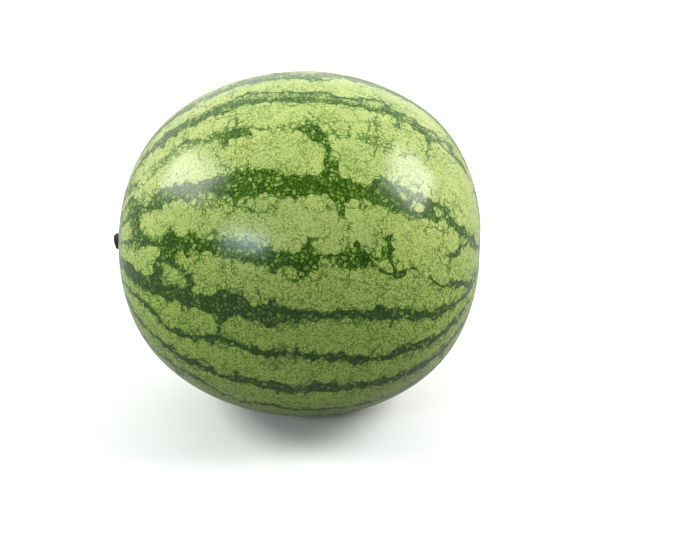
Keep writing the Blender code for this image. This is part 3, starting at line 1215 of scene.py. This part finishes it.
@dataclass
class StemStub:
    """The dried stub of the stalk, ridged along its sides and torn at its tip."""

    form: FruitForm
    finish: StemFinish
    foot_radius: float = 0.0072
    turns: int = 96
    ridges: int = 5
    ridge_depth: float = 0.0006
    ridge_turn: float = 0.6
    fine_ridges: int = 13
    fine_depth: float = 0.00018
    fine_twist: float = 3.0
    side_radius: float = 0.005
    heart_radius: float = 0.004
    tear: float = 0.0007
    tear_start: float = 0.6
    tear_pattern: float = 5.1
    tear_slant: float = 0.30
    lean: float = -0.0034

    def build(self) -> bpy.types.Object:
        """Make the stub in the place of its plain solid.

        Returns:
            The finished stub.
        """
        low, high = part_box("stem")
        foot, tip = high.x, low.x
        bm = bmesh.new()
        verts = [bm.verts.new((-along, 0.0, out)) for along, out in self.profile(foot - tip)]
        edges = [bm.edges.new(pair) for pair in zip(verts, verts[1:])]
        bmesh.ops.spin(bm, geom=[*verts, *edges], cent=(0, 0, 0), axis=(1, 0, 0),
                       angle=math.tau, steps=self.turns, use_merge=True)
        bmesh.ops.remove_doubles(bm, verts=list(bm.verts), dist=1e-6)
        for vert in bm.verts:
            self.weather(vert.co, foot - tip)
        centre = Vector((foot, 0.0, self.form.axis_height))
        bmesh.ops.translate(bm, verts=list(bm.verts), vec=centre)
        bmesh.ops.recalc_face_normals(bm, faces=list(bm.faces))
        return finished(bm, "stalk_stub", self.finish.make())

    def profile(self, length: float) -> list[tuple[float, float]]:
        """Give the stub's outline as distances along it and out from its axis."""
        waist = ((0.0, 0.0), (0.0, 0.5), (0.0, 0.90), (0.02, 0.98), (0.08, 1.0),
                 (0.16, 0.95), (0.24, 0.88), (0.34, 0.81), (0.45, 0.77), (0.58, 0.75),
                 (0.70, 0.75), (0.80, 0.76), (0.88, 0.76), (0.94, 0.72), (0.97, 0.63),
                 (0.95, 0.50), (0.91, 0.34), (0.90, 0.16), (0.90, 0.0))
        return [(along * length, out * self.foot_radius) for along, out in waist]

    def weather(self, point: Vector, length: float) -> None:
        """Move one point of the stub for its ridges, lean and torn tip.

        Args:
            point: the point, which is moved.
            length: the stub's length.
        """
        along = -point.x / length
        around = math.atan2(point.z, point.y)
        out = math.hypot(point.y, point.z)
        grown = along * (1.0 - along) * 4.0
        ridge = math.cos(self.ridges * around + self.ridge_turn) * self.ridge_depth
        fine = math.cos(self.fine_ridges * around + self.fine_twist * along)
        ridge += fine * self.fine_depth
        inner = min(1.0, out / self.heart_radius)
        share = 1.0 + (ridge / self.side_radius) * (0.35 + 0.65 * grown) * inner
        spot = Vector((along, math.cos(around), math.sin(around))) * self.tear_pattern
        ragged = noise.noise(spot) * self.tear
        tip = max(0.0, (along - self.tear_start) / (1.0 - self.tear_start))
        slant = point.z
        point.y *= share
        point.z = slant * share + self.lean * along
        point.x += tip * (ragged - self.tear_slant * slant)


# --- The studio ---


@dataclass(frozen=True)
class Lamp:
    """A soft panel placed so that its shine falls on one spot of the rind."""

    name: str
    station: float
    bearing: float
    far: float
    width: float
    height: float
    power: float
    colour: tuple[float, float, float] = (1.0, 1.0, 1.0)
    roll: float = 0.0


@dataclass
class Studio:
    """The white floor, the soft lights and the camera.

    The camera's line of sight passes beside and below the melon's centre by
    these distances, in metres.
    """

    form: FruitForm
    azimuth: float = 6.0
    elevation: float = 24.0
    distance: float = 1.2456
    beside: float = 0.02808
    below: float = 0.01973
    lens: float = 91.72
    sensor: float = 36.0
    floor_size: float = 6.0
    lamps: tuple[Lamp, ...] = (
        Lamp("long window", 59, 47, 2.8, 1.95, 1.10, 64.0, roll=25.0),
        Lamp("key", 129, 50.5, 2.8, 1.55, 1.38, 80.0),
        Lamp("sky glow", 79, 25, 1.8, 0.66, 0.32, 11.0, (0.80, 0.91, 1.0)),
    )

    @property
    def eye(self) -> Vector:
        """Give the camera's place."""
        turn, lift = math.radians(self.azimuth), math.radians(self.elevation)
        back = Vector((math.sin(turn), -math.cos(turn), 0.0)) * math.cos(lift)
        return self.form.centre + (back + Vector((0.0, 0.0, math.sin(lift)))) * self.distance

    def aim(self) -> Matrix:
        """Turn the camera, level, so that the melon stands a little left of the middle.

        Returns:
            The camera's turn.
        """
        right = -self.beside / self.distance
        up = self.below / self.distance
        yaw, pitch = self.azimuth, -self.elevation
        for _ in range(8):
            facing = Matrix.Rotation(math.radians(yaw), 3, "Z")
            facing = facing @ Matrix.Rotation(math.radians(90.0 + pitch), 3, "X")
            seen = facing.transposed() @ (self.form.centre - self.eye)
            yaw += math.degrees(right - seen.x / -seen.z)
            pitch -= math.degrees(up - seen.y / -seen.z)
        return facing

    def add_camera(self) -> None:
        """Add the camera and make it the scene's own."""
        data = bpy.data.cameras.new("camera")
        data.sensor_width = self.sensor
        data.lens = self.lens
        data.clip_start, data.clip_end = 0.02, 60.0
        made = bpy.data.objects.new("camera", data)
        made.matrix_world = Matrix.Translation(self.eye) @ self.aim().to_4x4()
        bpy.context.scene.collection.objects.link(made)
        bpy.context.scene.camera = made

    def add_lamp(self, lamp: Lamp) -> None:
        """Add one soft panel where the rind mirrors it into the camera.

        Args:
            lamp: the panel's size, power and shine.
        """
        spot = self.form.place(lamp.station, lamp.bearing)
        facing = self.form.outward(lamp.station, lamp.bearing)
        view = (self.eye - spot).normalized()
        away = (2.0 * facing.dot(view) * facing - view).normalized()
        data = bpy.data.lights.new(lamp.name, "AREA")
        data.shape = "RECTANGLE"
        data.size, data.size_y = lamp.width, lamp.height
        data.energy = lamp.power
        data.color = lamp.colour
        turn = away.to_track_quat("Z", "Y").to_matrix()
        turn = turn @ Matrix.Rotation(math.radians(lamp.roll), 3, "Z")
        made = bpy.data.objects.new(lamp.name, data)
        made.matrix_world = Matrix.Translation(spot + away * lamp.far) @ turn.to_4x4()
        bpy.context.scene.collection.objects.link(made)

    def add_world(self) -> None:
        """Light the melon softly from all round, and mostly from behind it."""
        world = bpy.data.worlds.new("white studio")
        world.use_nodes = True
        weave = Weaver(world.node_tree)
        ways = weave.parts(weave.add("TexCoord").outputs["Generated"])
        behind = weave.times(weave.sum("ABSOLUTE", ways["X"]), 0.34, ways["Y"])
        path = weave.add("LightPath").outputs
        mirrored = weave.times(path["Is Glossy Ray"], -0.2, 1.0)
        lit = weave.times(weave.ease(behind, -0.3, 0.85, 0.14, 1.5), mirrored)
        glow = world.node_tree.nodes["Background"].inputs
        weave.feed(glow["Strength"], weave.sum("MAXIMUM", lit, path["Is Camera Ray"]))
        weave.feed(glow["Color"], "FFFFFF")
        bpy.context.scene.world = world

    def add_floor(self) -> None:
        """Lay the white floor."""
        bm = bmesh.new()
        bmesh.ops.create_grid(bm, x_segments=1, y_segments=1, size=self.floor_size)
        floor = finished(bm, "floor", FloorFinish().make())

    def build(self) -> None:
        """Set up the whole studio."""
        self.add_world()
        self.add_floor()
        for lamp in self.lamps:
            self.add_lamp(lamp)
        self.add_camera()
        scene = bpy.context.scene
        scene.view_settings.view_transform = "Standard"
        scene.view_settings.look = "None"


# --- The whole scene ---


def main() -> None:
    """Build the melon and the studio."""
    logging.basicConfig(level=logging.INFO, format="%(name)s: %(message)s")
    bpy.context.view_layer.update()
    form = FruitForm()
    rind = Rind(form, StripePlan(form), RindFinish()).build()
    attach(rind, "root")
    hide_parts("fruit")
    stub = StemStub(form, StemFinish()).build()
    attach(stub, "root")
    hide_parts("stem")
    LOG.info("stub: %d faces", len(stub.data.polygons))
    Studio(form).build()
    LOG.info("studio: floor, lights and camera")


if __name__ == "__main__":
    main()
